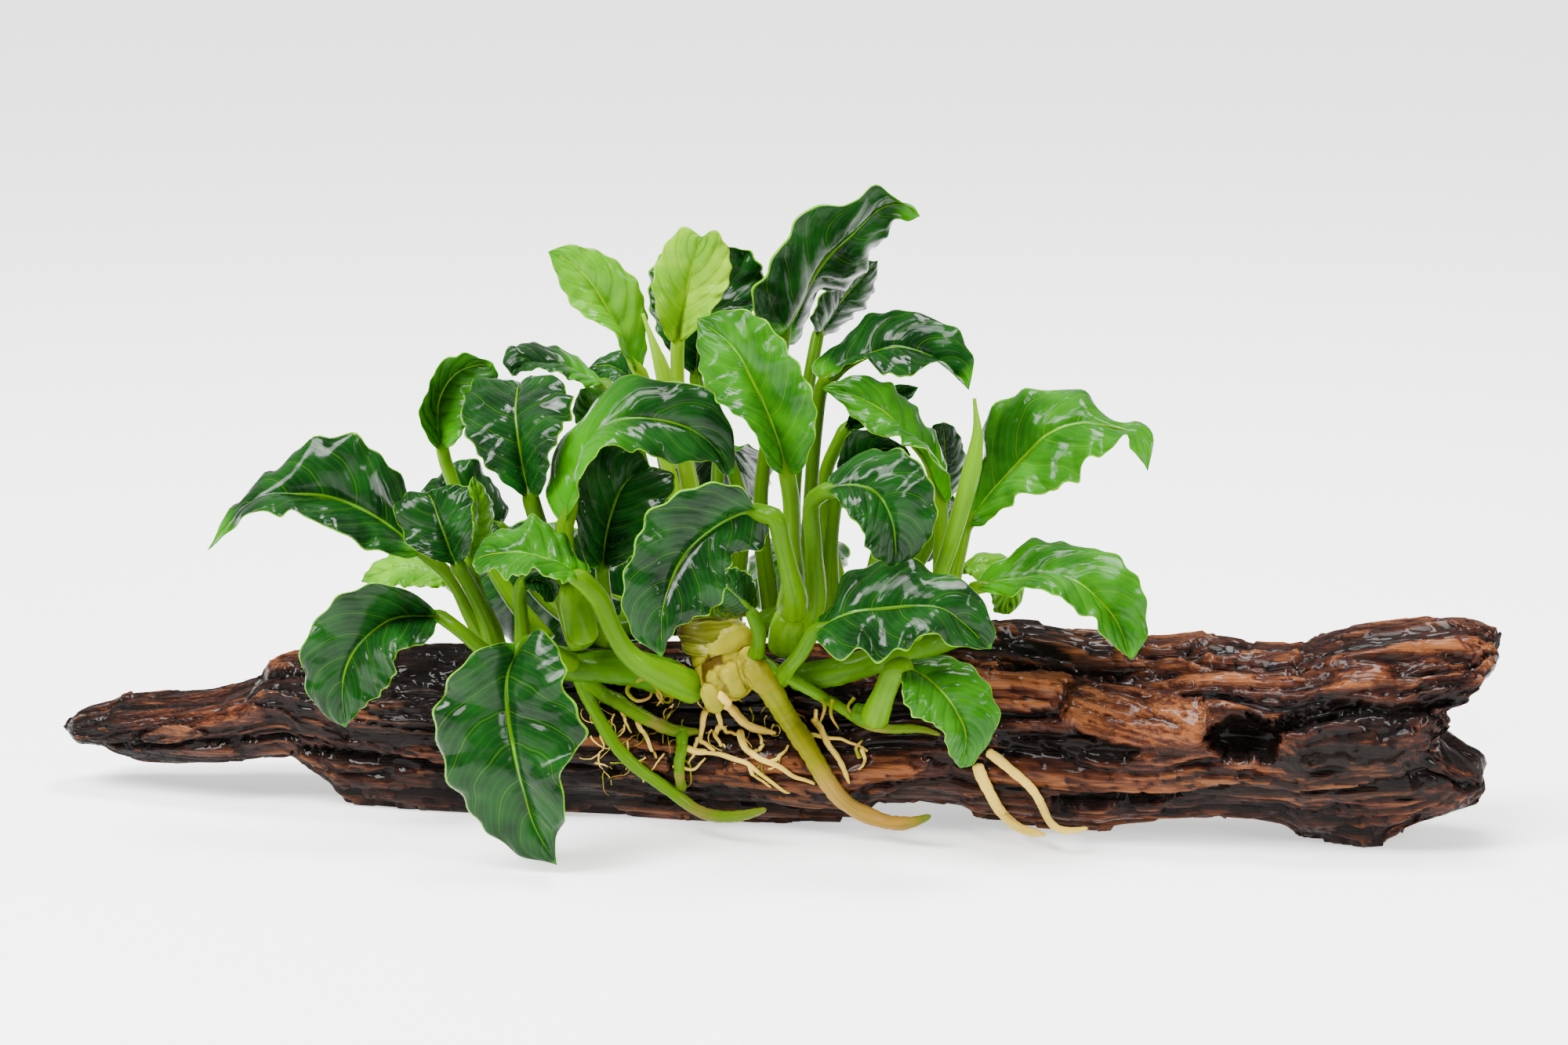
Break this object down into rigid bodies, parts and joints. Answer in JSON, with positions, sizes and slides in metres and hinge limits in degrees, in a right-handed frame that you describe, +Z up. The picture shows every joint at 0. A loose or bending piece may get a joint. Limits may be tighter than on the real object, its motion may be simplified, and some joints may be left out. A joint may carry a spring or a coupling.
{
  "type": "dwarf anubias on driftwood",
  "caption": "Aquarium plant with thick glossy wavy leaves on short stalks, its creeping stem and roots gripping a weathered driftwood branch that lies flat.",
  "frame": {"origin": "on the flat underside of the driftwood, near the middle of its length", "axes": "+X along the wood towards its thick broken end, +Y towards the back, +Z up"},
  "size_m": [0.3098, 0.1265, 0.1353],
  "materials": {
    "driftwood": "wet, weathered, cracked along the grain",
    "rhizome": "smooth green stem tissue",
    "rhizome_crown": "cream and tan, shredded papery sheath",
    "root": "satin, green turning tan",
    "dark_leaf": "wet, glossy, dark green",
    "middle_leaf": "wet, glossy, middle green",
    "bright_leaf": "wet, glossy, bright green",
    "young_leaf": "wet, glossy, yellow-green"
  },
  "bodies": {
    "root": {"driftwood_log": "driftwood", "rhizome_crown": "rhizome_crown", "rhizome_left": "rhizome", "rhizome_right": "rhizome", "rhizome_centre_branch": "rhizome", "rhizome_back_left": "rhizome", "rhizome_back_right": "rhizome", "rhizome_offshoot": "rhizome", "sheath_left": "rhizome", "root_main": "root", "root_long_left": "root", "root_left": "root", "root_joining": "root", "root_tan": "root", "root_green": "root", "root_right_near": "root", "root_right_far": "root", "root_thin": "root", "leaf_front_hanging": "dark_leaf", "leaf_front_centre": "dark_leaf", "leaf_front_right": "dark_leaf", "leaf_front_arching": "middle_leaf", "leaf_far_left": "dark_leaf", "leaf_left_low": "dark_leaf", "leaf_bottom_right": "middle_leaf", "leaf_right_centre": "dark_leaf", "leaf_centre_left": "dark_leaf", "leaf_left_facing": "dark_leaf", "leaf_centre_top": "middle_leaf", "leaf_right_top": "dark_leaf", "leaf_right_light": "middle_leaf", "leaf_big_right": "middle_leaf", "leaf_right_low": "middle_leaf", "leaf_left_small_dark": "dark_leaf", "leaf_left_small_bright": "bright_leaf", "leaf_left_back_up": "bright_leaf", "leaf_back_left_arching": "dark_leaf", "leaf_top_young": "young_leaf", "leaf_top_bright": "young_leaf", "leaf_top_large": "dark_leaf", "leaf_top_dark_back": "dark_leaf", "leaf_top_back_right": "dark_leaf", "leaf_right_dark_back": "dark_leaf", "leaf_right_sliver": "dark_leaf", "leaf_right_back_low": "bright_leaf", "leaf_centre_small": "dark_leaf", "leaf_left_inner": "dark_leaf", "leaf_back_left_low": "dark_leaf", "leaf_left_lowest_back": "bright_leaf", "leaf_back_sliver_left": "middle_leaf", "leaf_back_sliver_top": "dark_leaf", "leaf_small_curled": "dark_leaf", "leaf_back_right_bit": "dark_leaf", "leaf_behind_left": "middle_leaf", "leaf_behind_centre_left": "dark_leaf", "leaf_behind_centre_right": "middle_leaf", "leaf_behind_right": "dark_leaf", "spear_left": "young_leaf", "spear_right": "young_leaf"}
  },
  "joints": []
}
